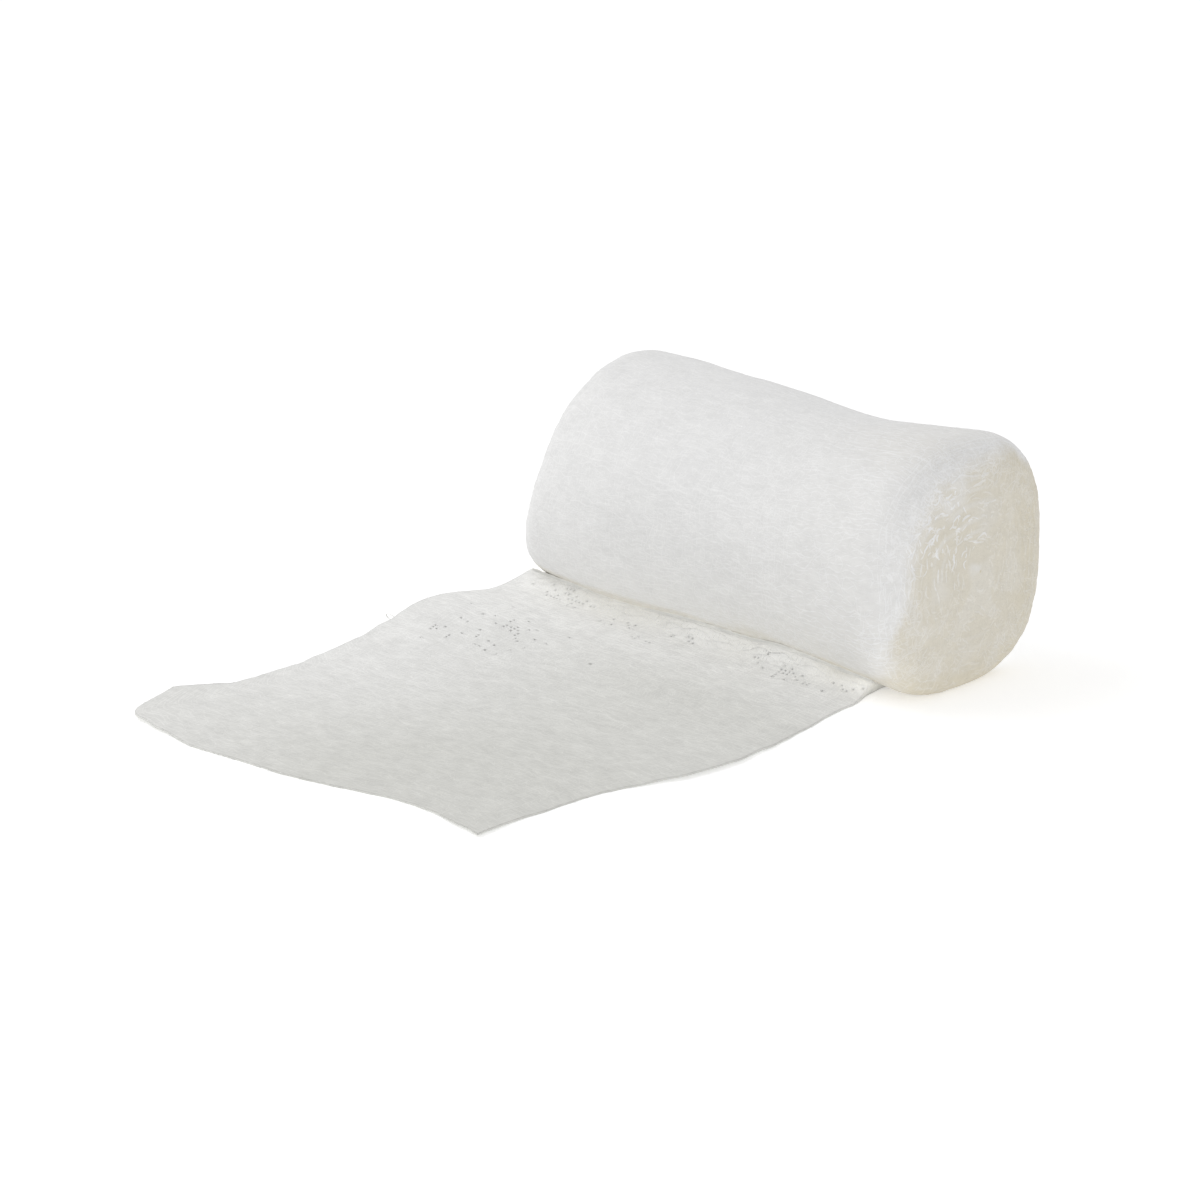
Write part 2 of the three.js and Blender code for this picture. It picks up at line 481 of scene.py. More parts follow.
def mottled(tree, colour, mottle):
    """A colour with soft clumps and streaks. mottle: their strength."""
    light = 1 + SPOT_LIGHT * mottle
    spots = tree.nodes.new("ShaderNodeMath")
    spots.operation = "MULTIPLY"
    clumps = noise_between(tree, 1 - CLUMP_SHADE * mottle, light, **CLUMPS)
    streaks = noise_between(tree, 1 - STREAK_SHADE * mottle, light, **STREAKS)
    tree.links.new(clumps, spots.inputs[0])
    tree.links.new(streaks, spots.inputs[1])
    shaded = tree.nodes.new("ShaderNodeMix")
    shaded.data_type = "RGBA"
    shaded.blend_type = "MULTIPLY"
    shaded.inputs["Factor"].default_value = 1
    tree.links.new(colour, shaded.inputs["A"])
    tree.links.new(spots.outputs["Value"], shaded.inputs["B"])
    return shaded.outputs["Result"]


def fine_nap(tree):
    """The bump of the cotton's finest fibres."""
    bump = tree.nodes.new("ShaderNodeBump")
    set_inputs(bump, {"Strength": NAP_STRENGTH, "Distance": NAP_HEIGHT})
    tree.links.new(noise_between(tree, 0, 1, **NAP), bump.inputs["Height"])
    return bump.outputs["Normal"]


def gauze_material(name, white, shade, mottle, glow_colour):
    """Matt bleached cotton, which gives out painted light of its glow colour where its points say
    so.
    """
    material, shader = new_material(name, COTTON)
    tree = material.node_tree
    colour = mottled(tree, tinted(tree, white, shade), mottle)
    tree.links.new(colour, shader.inputs["Base Color"])
    tree.links.new(fine_nap(tree), shader.inputs["Normal"])
    shader.inputs["Emission Color"].default_value = (*glow_colour, 1)
    tree.links.new(point_value(tree, "glow"), shader.inputs["Emission Strength"])
    material.cycles.emission_sampling = "NONE"
    return material


# Each gauze's white, shade colour, mottle and painted light's colour
WOUND_MOTTLE = 0.055
LAID_MOTTLE = 0.09
WARM_GLOW = 0.92, 0.905, 0.84
PALE_GLOW = 0.9, 0.9, 0.87
# The shade colour gives painted shade, and the roll ends' creamy colour. A cloth's white lies
# below its threads' white: painted shade between the threads
WOUND_CLOTH = (0.85, 0.85, 0.848), (0.639, 0.572, 0.409), WOUND_MOTTLE, WARM_GLOW
WOUND_THREAD = (0.908, 0.908, 0.906), (0.672, 0.609, 0.46), WOUND_MOTTLE, WARM_GLOW
LAID_CLOTH = (0.88, 0.879, 0.867), (0.722, 0.722, 0.688), LAID_MOTTLE, PALE_GLOW
LAID_THREAD = (0.975, 0.974, 0.962), (0.786, 0.786, 0.752), LAID_MOTTLE, PALE_GLOW
CLOTHS = {
    "wound_gauze": gauze_material("wound_cotton", *WOUND_CLOTH),
    "laid_gauze": gauze_material("laid_cotton", *LAID_CLOTH),
}
THREADS = {
    "wound_gauze": gauze_material("wound_threads", *WOUND_THREAD),
    "laid_gauze": gauze_material("laid_threads", *LAID_THREAD),
}

# The roll's tint, painted shade and painted light. A pair is where a soft change starts and where
# it is full.
# Where the ends' tint begins at each bearing; it reaches over the rim at the back and bottom as
# painted shade
END_EDGES = table(
    "bearing radius",
    (0, 27.5),
    (60, 26.0),
    (90, 22.5),
    (130, 19.5),
    (160, 20.5),
    (185, 23.0),
    (200, 24.8),
    (215, 26.6),
    (235, 28.8),
    (255, 28.8),
    (275, 27.8),
    (360, 27.5),
)
EDGE_STRAY = 2.0
EDGE_SOFTNESS = 1.8
LEFT_EDGE = -5.0
LEFT_SOFTNESS = 4.0
FRONT_BEARING = 130
FRONT_SPREAD = 75, 20
FRONT_SOFTNESS = 3.6
ARC_PITCH = 2.4
ARC_STRAY = 0.6
ARC_SHARE = 0.8
ARC_PATCHES = -0.4, 0.6
BLOTCHES = 0, 0.8
PALE_SHARE = 0.18
FRONT_PALE_SHARE = 0.32
END_TINT = 0.57
# Painted shade that deepens the ends' tint towards the back and the foot
BACK_PAINTED_SHADE = 0.14
BACK_DEPTHS = 6, 22
FOOT_PAINTED_SHADE = 0.16
FOOT_HEIGHTS = 10, 1
ENDS_FROM_MIDDLE = 0.32, 0.3
HEIGHT_STRAY = 2.5
# Painted shade on the roll's body: by the crease, on its low front, to its right and on its crown
CREASE_PAINTED_SHADE = 0.4
CREASE_HEIGHTS = 8.5, 4.5
LOW_PAINTED_SHADE = 0.09
LOW_HEIGHTS = 17, 4
LOW_REACH = -90, 40
RIGHT_PAINTED_SHADE = 0.1
RIGHT_HEIGHTS = 30, 4
RIGHT_REACH = -5, 48
RIGHT_LEAST = 0.4
CROWN_PAINTED_SHADE = 0.08
CROWN_HEIGHTS = 49, 56
CROWN_REACH = 10, 48
FRONT_DEPTHS = 5, -5
# Painted light on the roll's low front and low down by the crease
ROLL_GLOW = 0.098
GLOW_HEIGHTS = 31, 4
GLOW_DEPTHS = 0, -8
GLOW_RIGHT = 46, 28
GLOW_LEFT = -66, -25
GAP_GLOW = 0.04
GAP_HEIGHTS = 5.5, 3.2


def upper_front(around):
    """How near a bearing about the axis is to the roll's upper front, from 0 to 1."""
    away = np.degrees(np.angle(np.exp(1j * (around - np.radians(FRONT_BEARING)))))
    return smooth_step(np.abs(away), *FRONT_SPREAD)


def pale_spots(s, around, front):
    """The share by which pale blotches and arcs of the turns whiten the roll's ends."""
    blotches = smooth_step(roll_noise(s, around, length=3, width=2.6, seed=17), *BLOTCHES)
    stray = ARC_STRAY * roll_noise(s, around, length=6, width=6, seed=19)
    phase = outline_radius(s) / ARC_PITCH - around / FULL_TURN + stray
    arcs = smooth_step(np.cos(FULL_TURN * phase), 0, 1)
    patches = roll_noise(s, around, length=4, width=4, seed=20)
    arcs = arcs * smooth_step(patches, *ARC_PATCHES)
    return (PALE_SHARE + FRONT_PALE_SHARE * front) * np.maximum(blotches, ARC_SHARE * arcs)


def end_tint(s, around, y, z):
    """How creamy the roll's ends are: their own colour, paler at the upper front, with painted
    shade at the back and foot.
    """
    front = upper_front(around)
    left = s < OUTLINE_LENGTH / 2
    edge = curve_through(END_EDGES, "bearing", "radius", np.degrees(around) % 360)
    edge = edge + EDGE_STRAY * roll_noise(s, around, length=6, width=6, seed=5) + LEFT_EDGE * left
    softness = EDGE_SOFTNESS + FRONT_SOFTNESS * front + LEFT_SOFTNESS * left
    face = smooth_step(outline_radius(s), edge + softness, edge - softness)
    middle = smooth_step(np.abs(s / OUTLINE_LENGTH - 0.5), *ENDS_FROM_MIDDLE)
    back = BACK_PAINTED_SHADE * smooth_step(y, *BACK_DEPTHS)
    depth = END_TINT + back + FOOT_PAINTED_SHADE * smooth_step(z, *FOOT_HEIGHTS)
    return face * (1 - middle) * (1 - pale_spots(s, around, front)) * depth


def body_painted_shade(s, around, x, y, z):
    """Painted shade on the roll's body, as a creamy tint: by the crease, on its low front, its
    right and its crown.
    """
    height = z + HEIGHT_STRAY * roll_noise(s, around, length=9, width=5, seed=27)
    low = CREASE_PAINTED_SHADE * smooth_step(height, *CREASE_HEIGHTS)
    low = low + LOW_PAINTED_SHADE * smooth_step(height, *LOW_HEIGHTS) * smooth_step(x, *LOW_REACH)
    share = RIGHT_LEAST + (1 - RIGHT_LEAST) * smooth_step(height, *RIGHT_HEIGHTS)
    right = RIGHT_PAINTED_SHADE * share * smooth_step(x, *RIGHT_REACH)
    crown = CROWN_PAINTED_SHADE * smooth_step(z, *CROWN_HEIGHTS) * smooth_step(x, *CROWN_REACH)
    return (low + right) * smooth_step(y, *FRONT_DEPTHS) + crown


def roll_tint(s, around, points):
    """How creamy the roll is, from 0 to 1: the ends' own colour and painted shade."""
    x, y, z = np.moveaxis(points, -1, 0)
    tint = np.maximum(end_tint(s, around, y, z), body_painted_shade(s, around, x, y, z))
    return np.clip(tint, 0, 1)


def roll_painted_light(points):
    """Painted light on the roll's low front, which lightens the shade by the crease."""
    x, y, z = np.moveaxis(points, -1, 0)
    front = smooth_step(y, *GLOW_DEPTHS)
    middle = smooth_step(x, *GLOW_RIGHT) * smooth_step(x, *GLOW_LEFT)
    broad = ROLL_GLOW * smooth_step(z, *GLOW_HEIGHTS)
    return (broad + GAP_GLOW * smooth_step(z, *GAP_HEIGHTS)) * front * middle


# The roll's skin, under its threads. A crinkle is its height, length, width and seed.
END_RINGS = 60
RINGS_PAST_FACE = 4.0
BODY_RINGS = 110
SKIN_AROUND = 240
TURN_PITCH = 1.1
TURN_STRAY = 0.7
TURN_HEIGHT = 0.04
TURN_EVENNESS = 0.6
TURN_UNEVENNESS = 0.5
TURN_OUTER = 26, 20
TURN_INNER = 0.5, 4
ROLL_CRINKLES = (0.3, 15, 12, 11), (0.1, 6, 2.4, 13), (0.04, 2, 1.4, 15)
CRINKLES_FROM_AXIS = 0, 3
CRINKLES_FROM_TABLE = 0.3, 4


def turns(s, around):
    """The edges of the wound turns on the roll's two ends."""
    radius = outline_radius(s)
    stray = TURN_STRAY * roll_noise(s, around, length=6, width=6, seed=21)
    phase = radius / TURN_PITCH - around / FULL_TURN + stray
    uneven = TURN_UNEVENNESS * roll_noise(s, around, length=5, width=5, seed=23)
    ridge = TURN_HEIGHT * np.cos(FULL_TURN * phase) * (TURN_EVENNESS + uneven)
    return ridge * smooth_step(radius, *TURN_OUTER) * smooth_step(radius, *TURN_INNER)


def roll_relief(s, around):
    """The soft lumps and crinkles of the roll."""
    crinkles = sum(height * roll_noise(s, around, *size) for height, *size in ROLL_CRINKLES)
    return crinkles * smooth_step(outline_radius(s), *CRINKLES_FROM_AXIS) + turns(s, around)


def roll_surface(s, around, lift=0.0):
    """The roll's crinkled surface and its outward direction. lift: a height above it."""
    points = roll_points(s, around)
    outward = roll_normals(s, around)
    above_table = smooth_step(points[..., 2], *CRINKLES_FROM_TABLE)
    height = roll_relief(s, around) * above_table + lift
    return points + outward * height[..., None], outward


def ring_places():
    """Places along the outline, closer together on the ends than on the body."""
    left = FACE_LENGTH[-1] + RINGS_PAST_FACE
    right = OUTLINE_LENGTH - FACE_LENGTH[1] - RINGS_PAST_FACE
    return np.concatenate(
        [
            np.linspace(0, left, END_RINGS, endpoint=False),
            np.linspace(left, right, BODY_RINGS, endpoint=False),
            np.linspace(right, OUTLINE_LENGTH, END_RINGS),
        ]
    )


def roll_skin():
    """The roll's closed outer surface, with its crinkles and the edges of its turns."""
    around = np.linspace(0, FULL_TURN, SKIN_AROUND, endpoint=False)
    s, around = np.meshgrid(ring_places()[1:-1], around, indexing="ij")
    points, _ = roll_surface(s, around)
    cream_and_shade = roll_tint(s, around, points)
    poles = roll_points(np.array([0.0, OUTLINE_LENGTH]), np.zeros(2))
    count = s.size
    j = np.arange(SKIN_AROUND)
    k = (j + 1) % SKIN_AROUND
    last = count - SKIN_AROUND
    left_fan = np.stack([np.full(SKIN_AROUND, count), j, k], -1)
    right_fan = np.stack([np.full(SKIN_AROUND, count + 1), last + k, last + j], -1)
    skin = make_mesh(
        "roll_skin",
        np.vstack([points.reshape(-1, 3), poles]),
        grid_quads(len(s), SKIN_AROUND),
        np.vstack([left_fan, right_fan]),
        "wound_gauze",
        np.concatenate([cream_and_shade.ravel(), [1, 1]]),
        np.concatenate([roll_painted_light(points).ravel(), [0, 0]]),
    )
    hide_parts("wound_roll")


# The roll's yarns. A pair is a least and a most. whiter: how much less cream than the skin.
WEAVE_PITCH = 1.2
WEFT_RADIUS = 0.24
WARP_RADIUS = 0.2
WEFT_END_STRAY = -2, 3
WARP_START = math.radians(-68)
WARP_END = math.radians(236)
CRIMP = 0.03
THREAD_DEPTH = -0.02
YARN_WHITER = 0.1
YARN_WAVE = 0.4
YARN_WAVE_SHARES = 0.4, 1.3
YARN_WAVE_LENGTHS = 4.0, 9.0
YARN_SIZES = 0.65, 1.15
SLUB_SIZE = 0.45
SLUB_TILE = 200
SLUBS_IN_TILE = 70
BROAD_WANDER = 0.5
FINE_WANDER = 0.28
CLEARANCE = 1.0


def roll_wander(s, around, seed):
    """How far a thread of the roll strays sideways with its neighbours."""
    broad = roll_noise(s, around, length=8, width=6, seed=seed)
    fine = roll_noise(s, around, length=2.8, width=2.8, seed=seed + 2)
    return BROAD_WANDER * broad + FINE_WANDER * fine


def yarn_waves(places, seed):
    """How far each yarn strays by itself, and its uneven thickness as a share of its size.

    places: distances along the yarns, with a row for each yarn.
    """
    rng = np.random.default_rng(seed)
    rows = len(places), 1
    length = rng.uniform(*YARN_WAVE_LENGTHS, rows)
    size = YARN_WAVE * rng.uniform(*YARN_WAVE_SHARES, rows)
    stray = size * np.sin(FULL_TURN * places / length + rng.uniform(0, FULL_TURN, rows))
    yarns = np.arange(rows[0])[:, None] / rows[0]
    slubs = soft_noise(yarns, places / SLUB_TILE, (rows[0], SLUBS_IN_TILE), seed + 1)
    return stray, rng.uniform(*YARN_SIZES, rows) * (1 + SLUB_SIZE * slubs)


def over_and_under(i, j):
    """The heights of crossing yarns, up and down in turn."""
    return CRIMP * (-1.0) ** (i + j)


def clear_of_table(points):
    """Which threads stay above the table, and above the loose end where it goes under the roll."""
    room = points[..., 2] - strip_height(points[..., 0], points[..., 1])
    return room.min(axis=1) > CLEARANCE


def threads_on_roll(name, s, around, lift, radius, whiter):
    """Threads along paths on the roll, but for those that would touch what it lies on."""
    points, outward = roll_surface(s, around, lift)
    cream_and_shade = np.clip(roll_tint(s, around, points) - whiter, 0, 1)
    keep = clear_of_table(points)
    radius = np.broadcast_to(radius, points.shape[:2])[keep]
    points, outward, cream_and_shade = points[keep], outward[keep], cream_and_shade[keep]
    make_threads(name, points, outward, radius, "wound_gauze", cream_and_shade, roll_painted_light(points))


def roll_weft():
    """The threads across the strip, which run along the roll and over its rims."""
    rng = np.random.default_rng(seed=41)
    count = round(FULL_TURN * ROLL_RADIUS / WEAVE_PITCH)
    first = FACE_LENGTH[-1] + rng.uniform(*WEFT_END_STRAY, count)
    last = OUTLINE_LENGTH - FACE_LENGTH[1] - rng.uniform(*WEFT_END_STRAY, count)
    steps = round(BODY_LENGTH / WEAVE_PITCH)
    i, j = np.indices((count, steps))
    s = first[:, None] + (last - first)[:, None] * j / (steps - 1)
    around = FULL_TURN * i / count
    stray, size = yarn_waves(s, seed=44)
    around = around + (roll_wander(s, around, seed=43) + stray) / ROLL_RADIUS
    lift = THREAD_DEPTH + over_and_under(i, j)
    threads_on_roll("roll_weft", s, around, lift, WEFT_RADIUS * size, YARN_WHITER)


def roll_warp():
    """The threads along the strip, round the roll from under its back to the crease in front."""
    count = round(BODY_LENGTH / WEAVE_PITCH)
    steps = round((WARP_END - WARP_START) * ROLL_RADIUS / WEAVE_PITCH)
    i, j = np.indices((count, steps))
    around = WARP_START + (WARP_END - WARP_START) * j / (steps - 1)
    s = FACE_LENGTH[-1] + BODY_LENGTH * (i + 0.5) / count
    stray, size = yarn_waves(around * ROLL_RADIUS, seed=48)
    s = s + roll_wander(s, around, seed=47) + stray
    lift = THREAD_DEPTH - over_and_under(i, j)
    threads_on_roll("roll_warp", s, around, lift, WARP_RADIUS * size, YARN_WHITER)


# The roll's fluff. A pair is a least and a most. turn, bend: how much headings and bows vary.
FLUFF_RADIUS = 0.14
FLUFF_POINTS = 8
FLUFF_RISE = 0.03, 0.05
FLUFF_TUCK = 0.04
CURL = 0.4
CURL_SHARES = 0.3, 1.2
CURL_LENGTH = 3.2
ROLL_FLUFF = {"count": 3600, "turn": 0.8, "lengths": (3, 9), "bend": 1.2}
FLUFF_PAST_BODY = 2
FLUFF_WHITER = 0.15
END_TUFTS = 900
TUFT_RADIUS = 0.28
TUFT_SIZES = 0.7, 1.5
TUFT_RISE = 0.03, 0.06
TUFT_LENGTHS = 0.9, 2.8
TUFT_TURN = 0.6
TUFT_BEND = 0.4
TUFT_REACH = 26
TUFT_AREA_SHARES = 0.02, 1
TUFT_WHITER = 0.05, 0.55
TUFT_WHITER_LEAST = 0.12
TUFT_LEAST_TURNING = 2


def arc(rng, rows, low, high):
    """Places along rows of short threads from -0.5 to 0.5, and heights with the ends tucked in."""
    t = np.linspace(-0.5, 0.5, FLUFF_POINTS)
    return t, rng.uniform(low, high, rows) * (1 - 4 * t**2) - FLUFF_TUCK


def bow(t):
    """A bow's sideways shape along a short thread."""
    return 4 * t**2 - 0.5


def curls(rng, t, length):
    """How far short curly threads stray sideways along their lengths."""
    size = CURL * rng.uniform(*CURL_SHARES, length.shape)
    start = rng.uniform(0, FULL_TURN, length.shape)
    return size * np.sin(FULL_TURN * length * t / CURL_LENGTH + start)


def loose_fibres(rng, count, turn, lengths, bend):
    """Heights of short curly fibres, and how far they run along and across their main heading."""
    rows = count, 1
    t, lift = arc(rng, rows, *FLUFF_RISE)
    heading = rng.normal(0, turn, rows)
    length = rng.uniform(*lengths, rows)
    stray = rng.normal(0, bend, rows) * bow(t) + curls(rng, t, length)
    forward = length * np.cos(heading) * t - stray * np.sin(heading)
    sideways = length * np.sin(heading) * t + stray * np.cos(heading)
    return lift, forward, sideways


def roll_fluff():
    """Short loose fibres on the roll's outer turn, mostly along its axis."""
    rng = np.random.default_rng(seed=51)
    lift, forward, sideways = loose_fibres(rng, **ROLL_FLUFF)
    rows = len(lift), 1
    first = FACE_LENGTH[-1] - FLUFF_PAST_BODY
    last = OUTLINE_LENGTH - FACE_LENGTH[1] + FLUFF_PAST_BODY
    s = rng.uniform(first, last, rows) + forward
    around = rng.uniform(0, FULL_TURN, rows) + sideways / ROLL_RADIUS
    threads_on_roll("roll_fluff", s, around, lift, FLUFF_RADIUS, FLUFF_WHITER)


def end_outline_place(radius, side):
    """The place along the outline of each radius on the roll's left (-1) or right (1) end."""
    half = len(OUTLINE_S) // 2
    if side < 0:
        return np.interp(radius, OUTLINE_R[:half], OUTLINE_S[:half])
    return np.interp(radius, OUTLINE_R[:half - 1:-1], OUTLINE_S[:half - 1:-1])


def end_tufts(name, side, seed):
    """The selvedges' small loops and wisps on one end of the roll, in arcs about its axis."""
    rng = np.random.default_rng(seed)
    rows = END_TUFTS, 1
    t, lift = arc(rng, rows, *TUFT_RISE)
    middle = TUFT_REACH * np.sqrt(rng.uniform(*TUFT_AREA_SHARES, rows))
    length = rng.uniform(*TUFT_LENGTHS, rows)
    heading = rng.normal(0, TUFT_TURN, rows)
    bend = rng.normal(0, TUFT_BEND, rows)
    bearing = rng.uniform(0, FULL_TURN, rows)
    radius = np.abs(middle + length * np.sin(heading) * t + bend * bow(t))
    turning = np.maximum(middle, TUFT_LEAST_TURNING)
    around = bearing + length * np.cos(heading) * t / turning
    thickness = TUFT_RADIUS * rng.uniform(*TUFT_SIZES, rows)
    share = TUFT_WHITER_LEAST + (1 - TUFT_WHITER_LEAST) * upper_front(bearing)
    whiter = rng.uniform(*TUFT_WHITER, rows) * share
    threads_on_roll(name, end_outline_place(radius, side), around, lift, thickness, whiter)


# The loose end's surface. A crinkle is its height, its bumps across and along, and its seed.
SHEET_WIDTH = 112.0
SHEET_BODY = 1.0
SHEET_EDGE = 0.4
EDGE_TAPER = 9.0
EDGE_RELIEF = 0.25
BROAD_SHEET_WANDER = 0.4
FINE_SHEET_WANDER = 0.22
WANDER_START = 0, 0.02
SHEET_CRINKLES = (0.2, (7, 8), 31), (0.18, (24, 56), 32), (0.08, (64, 96), 33)
CREASE_GAP = 0.05
CREASE_UNEVENNESS = 0.3
CREASE_TILE = 140
CREASE_WAVES = 22, 3
CREASE_WAVE_ROW = 0.3
UNDERSIDE_ROUNDS = 4
CREASE_RISE = table(
    "x out reach rise",
    (-70, 11.5, 7.0, 3.6),
    (-62, 11.5, 6.0, 3.6),
    (-52, 12.5, 4.5, 3.0),
    (-40, 13.4, 3.8, 2.9),
    (-10, 14.3, 3.8, 3.0),
    (20, 14.6, 3.8, 3.0),
    (32, 14.9, 4.0, 3.0),
    (46, 15.7, 4.5, 2.8),
)


def sheet_wander(across, along, seed):
    """How far a thread of the loose end strays sideways."""
    broad = soft_noise(across, along, (16, 20), seed)
    fine = soft_noise(across, along, (44, 54), seed + 1)
    return BROAD_SHEET_WANDER * broad + FINE_SHEET_WANDER * fine


def sheet_relief(across, along):
    """The crinkles of the loose end."""
    return sum(height * soft_noise(across, along, *bumps) for height, *bumps in SHEET_CRINKLES)


def roll_underside(x, out):
    """The height of the roll's underside over each place of the loose end.

    The section whose spread foot is over the place is found in a few rounds.
    """
    edge = x
    for _ in range(UNDERSIDE_ROUNDS):
        section = rows_at(ROLL_SECTIONS, "x", edge)
        edge = x + section["spread"]
    half_width, half_height = ROLL_RADIUS * section["width"], ROLL_RADIUS * section["height"]
    share = np.clip((out + section["back"]) / half_width, 0, 1)
    roundness = (1 - share ** section["squareness"]) ** (1 / section["squareness"])
    height = half_height * (1 - roundness) - section["settling"]
    return np.maximum(height, CLOTH_THICKNESS + PIECE_GAP)


def crease_rise(x, out, height):
    """The cloth's height where it rises to the roll, in an uneven line along the crease."""
    row = rows_at(CREASE_RISE, "x", x)
    wave = soft_noise(x / CREASE_TILE, CREASE_WAVE_ROW, CREASE_WAVES, seed=35)
    near = np.exp(-(((out - row["out"] - wave) / row["reach"]) ** 2))
    risen = height + row["rise"] * (1 + CREASE_UNEVENNESS * wave) * near
    return np.minimum(risen, np.maximum(roll_underside(x, out) - CREASE_GAP, height))


def sheet_surface(across, along, lift=0.0):
    """The loose end's crinkled upper side, and what lies right under it on its underside."""
    from_selvedge = np.minimum(across, 1 - across) * SHEET_WIDTH
    body = smooth_step(np.minimum(from_selvedge, (1 - along) * SHEET_LENGTH), 0, EDGE_TAPER)
    across = across + sheet_wander(across, along, seed=71) / SHEET_WIDTH
    stray = sheet_wander(across, along, seed=73) / SHEET_LENGTH
    along = along + stray * smooth_step(along, *WANDER_START)
    under = sheet_points(across, along)
    top = under.copy()
    thickness = SHEET_EDGE + (SHEET_BODY - SHEET_EDGE) * body
    relief = sheet_relief(across, along) * (EDGE_RELIEF + (1 - EDGE_RELIEF) * body)
    top[..., 2] += crease_rise(under[..., 0], -under[..., 1], thickness + relief) + lift
    return top, under


# The loose end's painted shade and painted light, with pairs as on the roll
LEAST_SHADE = 0.1
RIGHT_SHADE = 0.78
RIGHT_SHADE_REACH = -64, 20
FAR_SHADE = 0.34
FAR_SHADE_OUT = 75, 130
SHADE_OUT = 14, 50
# Painted light on the loose end, by the crease and at its right corner
LAID_GLOW = 0.025
LAID_GLOW_SHADE = 0.25
CREASE_GLOW = 0.14
CREASE_GLOW_OUT = 16.5
CREASE_GLOW_WIDTH = 4.2
CREASE_GLOW_REACH = -70, -50
CORNER_GLOW = 0.14
CORNER_GLOW_REACH = 33, 42


def sheet_shade(points):
    """Painted shade on the loose end: greyer to its right and its free end, and not by the roll.
    """
    out = -points[..., 1]
    right = RIGHT_SHADE * smooth_step(points[..., 0], *RIGHT_SHADE_REACH)
    far = FAR_SHADE * smooth_step(out, *FAR_SHADE_OUT)
    return np.minimum(LEAST_SHADE + right + far, 1) * smooth_step(out, *SHADE_OUT)


def sheet_painted_light(points):
    """Painted light on the loose end where its painted shade is slight, and most of all in front
    of the roll.
    """
    x, out = points[..., 0], -points[..., 1]
    near = np.exp(-(((out - CREASE_GLOW_OUT) / CREASE_GLOW_WIDTH) ** 2))
    near = near * smooth_step(x, *CREASE_GLOW_REACH)
    near = near * (CREASE_GLOW + CORNER_GLOW * smooth_step(x, *CORNER_GLOW_REACH))
    return LAID_GLOW * np.clip(1 - sheet_shade(points) / LAID_GLOW_SHADE, 0, 1) + near


# The loose end's sheet, with two cells a thread
THREADS_ACROSS = 94
THREADS_ALONG = 114
HOLE_WIDENING = 0.12
OPEN_PATCHES = table(
    "x out half_width half_length share",
    (-44, 41, 5, 3.5, 0.5),
    (-45, 47, 13, 11, 0.12),
    (-46, 17.5, 7, 2.5, 0.5),
    (-26, 22.5, 5, 2, 0.35),
    (-16, 25, 5, 3, 0.2),
    (-7, 19.5, 1.3, 1.3, 0.95),
    (12.5, 19.5, 2.4, 1.4, 0.7),
    (22, 20.8, 4.5, 1.8, 0.6),
    (31, 22.8, 4, 1.8, 0.65),
    (39, 18.5, 3.5, 2, 0.5),
)


def open_share(across, along):
    """The share of the weave's cells that are open around each place."""
    x, y, _ = np.moveaxis(sheet_points(across, along), -1, 0)
    most = np.zeros(x.shape)
    for middle, out, half_width, half_length, share in zip(*OPEN_PATCHES.values()):
        far = ((x - middle) / half_width) ** 2 + ((y + out) / half_length) ** 2
        most = np.maximum(most, share * np.exp(-far))
    return most


def open_cells():
    """Which cells of the weave, between four threads, are open."""
    rng = np.random.default_rng(seed=81)
    across = (np.arange(THREADS_ACROSS - 1)[None, :] + 1) / THREADS_ACROSS
    along = (np.arange(THREADS_ALONG - 1)[:, None] + 1) / THREADS_ALONG
    chance = open_share(across, along)
    return rng.uniform(0, 1, chance.shape) < chance


def hole_widening(kept):
    """How far each point moves in X and Y to make the hole beside it wider."""
    rows, columns = np.nonzero(~kept)
    widening = np.zeros((kept.shape[0] + 1, kept.shape[1] + 1, 2))
    for below in (0, 1):
        for beside in (0, 1):
            away = 2 * beside - 1, 1 - 2 * below
            widening[rows + below, columns + beside] = HOLE_WIDENING * np.array(away)
    return widening


def cell_walls(kept, corner, count):
    """Walls from top to underside wherever a kept cell meets an open one or the sheet's edge."""
    padded = np.pad(kept, 1)
    sides = [
        (padded[:-2, 1:-1], corner[:-1, :-1], corner[:-1, 1:]),
        (padded[1:-1, 2:], corner[:-1, 1:], corner[1:, 1:]),
        (padded[2:, 1:-1], corner[1:, 1:], corner[1:, :-1]),
        (padded[1:-1, :-2], corner[1:, :-1], corner[:-1, :-1]),
    ]
    walls = []
    for neighbour, start, end in sides:
        edge = kept & ~neighbour
        first, last = start[edge], end[edge]
        walls.append(np.stack([first, last, last + count, first + count], -1))
    return np.vstack(walls)


